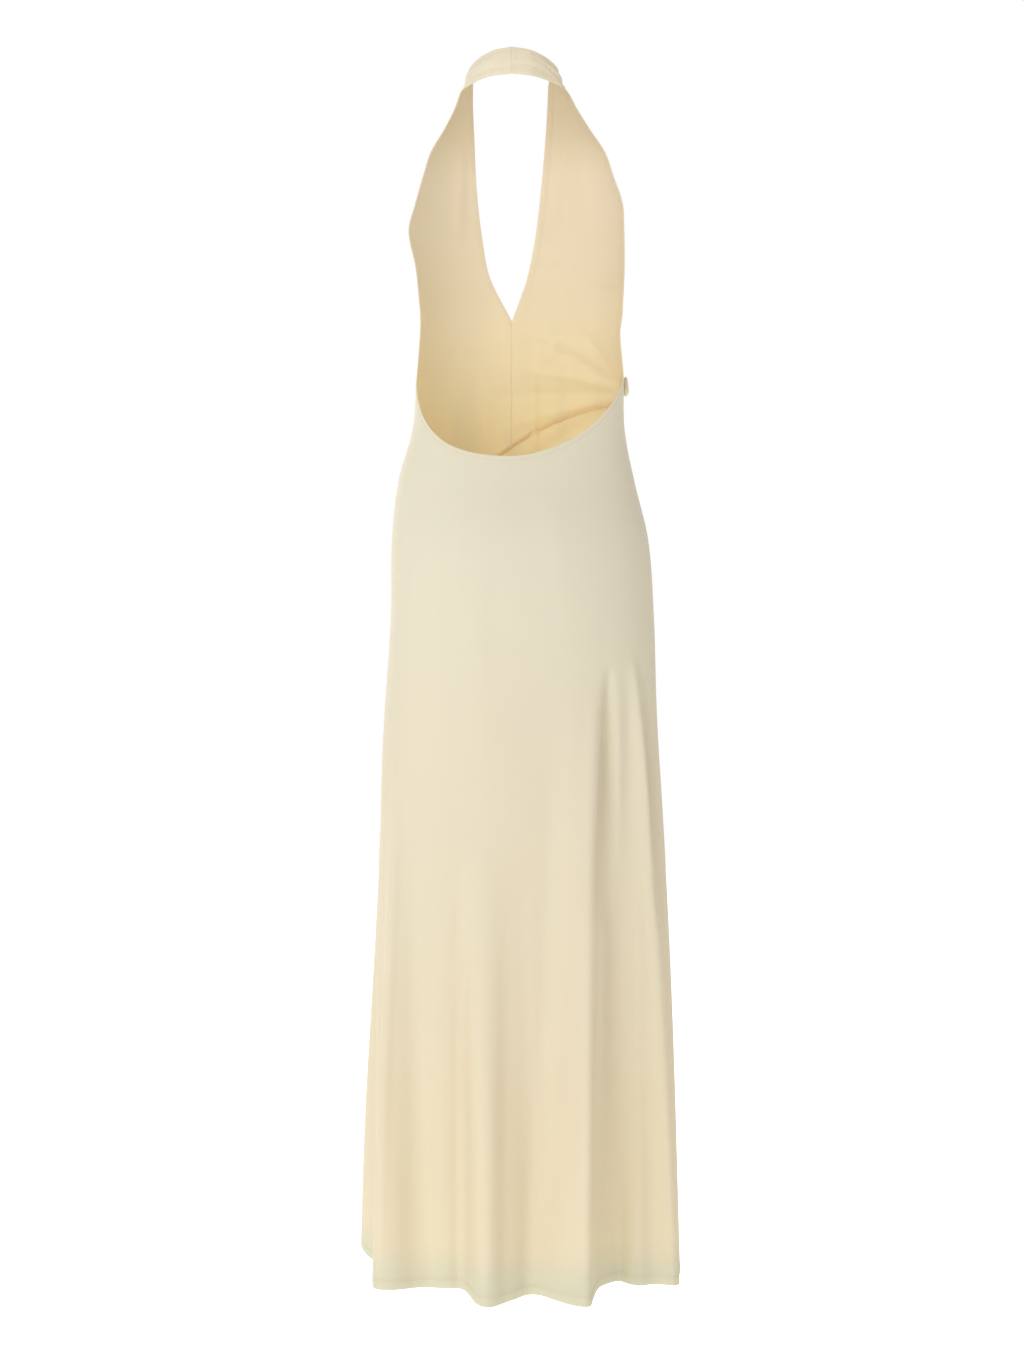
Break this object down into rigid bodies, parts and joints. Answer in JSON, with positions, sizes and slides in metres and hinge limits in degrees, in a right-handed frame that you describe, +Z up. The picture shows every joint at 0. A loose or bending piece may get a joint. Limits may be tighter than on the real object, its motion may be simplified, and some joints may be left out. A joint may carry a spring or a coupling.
{
  "type": "halter dress",
  "caption": "Floor-length halter dress in cream stretch jersey with a deep V front, an open scooped back, a slanting waist seam and a softly fluted skirt, in its hollow worn form.",
  "frame": {"origin": "inner face of the neck strap at its centre-back seam, about half way up the strap, where the wearer's neck holds the dress", "axes": "+Z up, -Y toward the front of the wearer, +X toward the wearer's left"},
  "size_m": [0.3801, 0.3129, 1.4266],
  "materials": {
    "jersey": "smooth matte stretch jersey with a faint soft sheen",
    "thread": "cream sewing thread of the straight stitches along the turned edges and the hem"
  },
  "bodies": {
    "root": {"front_left": "jersey", "front_right": "jersey", "front_skirt": "jersey", "back_skirt": "jersey", "side_gather": "jersey"}
  },
  "joints": []
}
